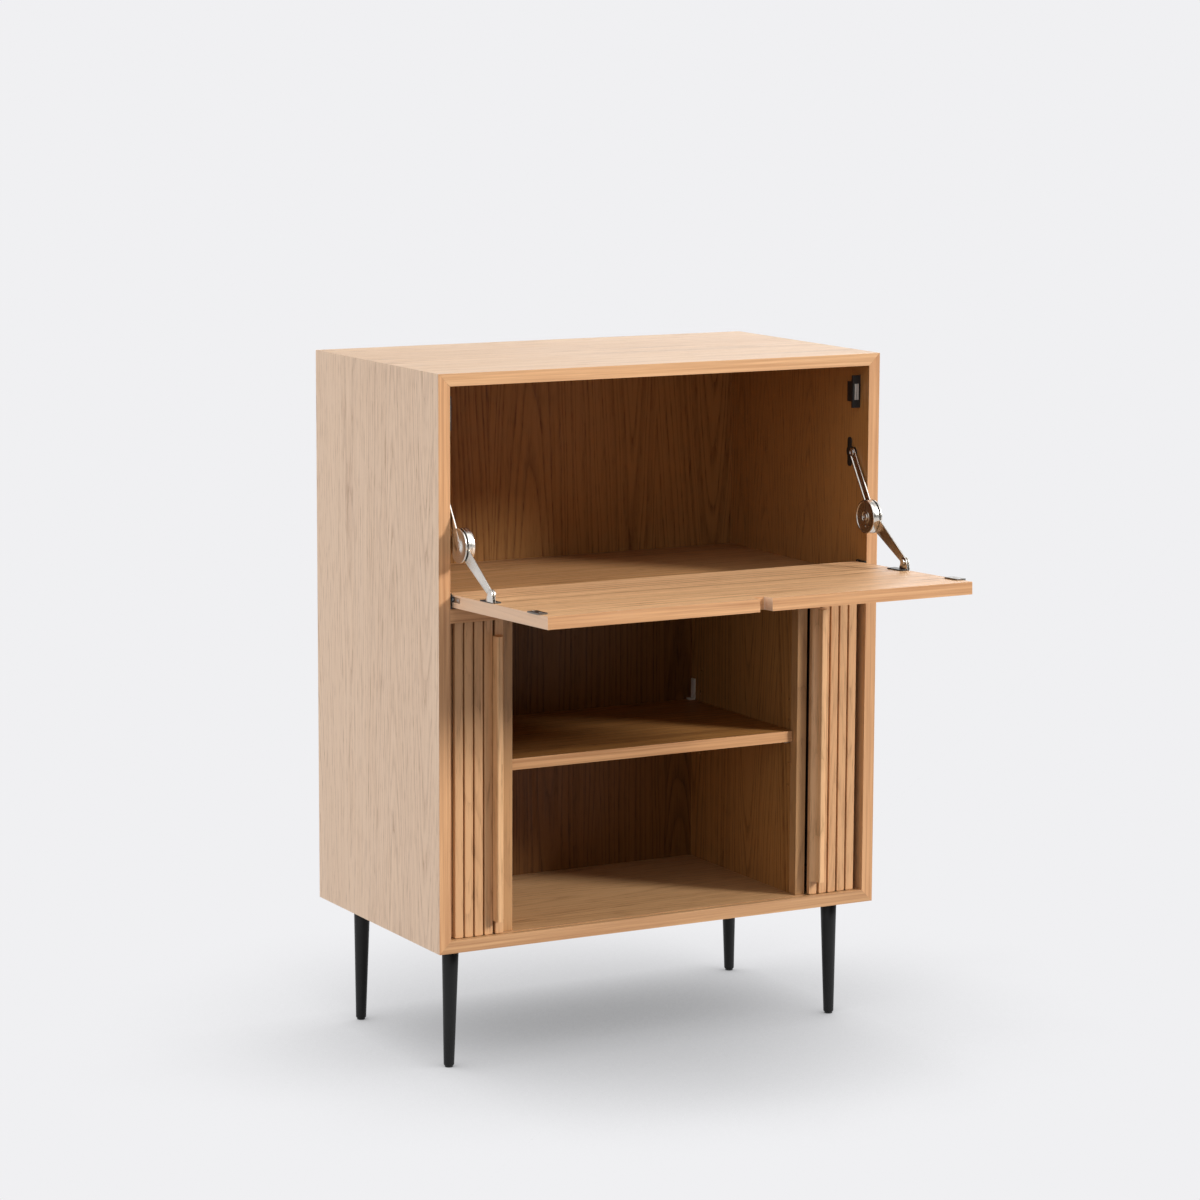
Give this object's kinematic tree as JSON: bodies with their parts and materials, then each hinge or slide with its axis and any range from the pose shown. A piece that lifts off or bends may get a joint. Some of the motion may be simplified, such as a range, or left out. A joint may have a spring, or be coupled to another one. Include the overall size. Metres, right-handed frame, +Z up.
{
  "type": "bar cabinet",
  "caption": "Oak bar cabinet on slim legs: a drop-front flap on folding stays above a shelved bay that tambour doors close.",
  "frame": {"origin": "on the floor, under the middle of the whole cabinet with its flap open", "axes": "+X to the right as seen from the front, +Y to the back, +Z up"},
  "size_m": [0.8, 0.7648, 1.112],
  "materials": {
    "oak_veneer": "satin oiled oak veneer",
    "oak_solid": "satin oiled solid oak",
    "beech": "bare beech",
    "black_legs": "matt black lacquer",
    "black_metal": "satin black",
    "stay_metal": "dark nickel",
    "bright_steel": "bright zinc",
    "black_plastic": "matt black",
    "pale_plastic": "matt off-white",
    "canvas": "plain cotton duck"
  },
  "bodies": {
    "cabinet": {"side_left": "oak_veneer", "side_right": "oak_veneer", "top_panel": "oak_veneer", "bottom_panel": "oak_veneer", "deck": "oak_veneer", "back_panel": "oak_veneer", "dowels": "beech", "back_screws": "bright_steel", "lower_back_panel": "oak_veneer", "partition_left": "oak_veneer", "partition_right": "oak_veneer", "partition_lipping_left": "oak_solid", "partition_lipping_right": "oak_solid", "shelf": "oak_veneer", "shelf_pins": "bright_steel", "shelf_clips": "pale_plastic", "leg_front_left": "black_legs", "leg_front_right": "black_legs", "leg_rear_left": "black_legs", "leg_rear_right": "black_legs", "leg_plates": "black_metal", "leg_glides": "black_plastic", "hinge_plate_left": "black_metal", "hinge_plate_right": "black_metal", "hinge_plate_screws": "bright_steel", "stay_bracket_left": "black_metal", "stay_bracket_right": "black_metal", "stay_bracket_screws": "bright_steel", "catch_body_left": "black_plastic", "catch_body_right": "black_plastic", "catch_poles": "bright_steel", "pocket_slats_left": "oak_solid", "pocket_slats_right": "oak_solid", "pocket_canvas_left": "canvas", "pocket_canvas_right": "canvas"},
    "flap": {"flap": "oak_veneer", "hinge_leaf_left": "bright_steel", "hinge_leaf_right": "bright_steel", "hinge_leaf_screws": "bright_steel", "flap_bracket_left": "black_metal", "flap_bracket_right": "black_metal", "flap_bracket_screws": "bright_steel", "strike_plates": "stay_metal", "strike_screws": "bright_steel"},
    "stay_upper_left": {"stay_upper_arm_left": "stay_metal"},
    "stay_lower_left": {"stay_lower_arm_left": "stay_metal", "stay_drum_left": "stay_metal", "stay_rivet_left": "bright_steel"},
    "door_left": {"lead_rail_left": "oak_solid", "front_slats_left": "oak_solid", "front_canvas_left": "canvas", "handle_left": "oak_solid"},
    "stay_upper_right": {"stay_upper_arm_right": "stay_metal"},
    "stay_lower_right": {"stay_lower_arm_right": "stay_metal", "stay_drum_right": "stay_metal", "stay_rivet_right": "bright_steel"},
    "door_right": {"lead_rail_right": "oak_solid", "front_slats_right": "oak_solid", "front_canvas_right": "canvas", "handle_right": "oak_solid"}
  },
  "joints": [
    {"name": "flap_hinge", "type": "hinge", "parent": "cabinet", "child": "flap", "pos_m": [0, -0.05462, 0.7615], "axis": [-1, 0, 0], "range_deg": [0, 88]},
    {"name": "stay_upper_pivot_left", "type": "hinge", "parent": "cabinet", "child": "stay_upper_left", "pos_m": [0, -0.02562, 0.946], "axis": [1, 0, 0], "range_deg": [0, 104.67]},
    {"name": "stay_lower_pivot_left", "type": "hinge", "parent": "flap", "child": "stay_lower_left", "pos_m": [0, -0.19263, 0.78653], "axis": [1, 0, 0], "range_deg": [0, 61.29]},
    {"name": "stay_upper_pivot_right", "type": "hinge", "parent": "cabinet", "child": "stay_upper_right", "pos_m": [0, -0.02562, 0.946], "axis": [1, 0, 0], "range_deg": [0, 104.67]},
    {"name": "stay_lower_pivot_right", "type": "hinge", "parent": "flap", "child": "stay_lower_right", "pos_m": [0, -0.19263, 0.78653], "axis": [1, 0, 0], "range_deg": [0, 61.29]},
    {"name": "door_slide_left", "type": "slide", "parent": "cabinet", "child": "door_left", "axis": [1, 0, 0], "range_m": [0, 0.282]},
    {"name": "door_slide_right", "type": "slide", "parent": "cabinet", "child": "door_right", "axis": [-1, 0, 0], "range_m": [0, 0.282]}
  ],
  "couplings": [
    {"joint": "stay_upper_pivot_left", "follows": "flap_hinge", "ratio": 1.1883},
    {"joint": "stay_lower_pivot_left", "follows": "flap_hinge", "ratio": 0.69537},
    {"joint": "stay_upper_pivot_right", "follows": "flap_hinge", "ratio": 1.1883},
    {"joint": "stay_lower_pivot_right", "follows": "flap_hinge", "ratio": 0.69537}
  ]
}
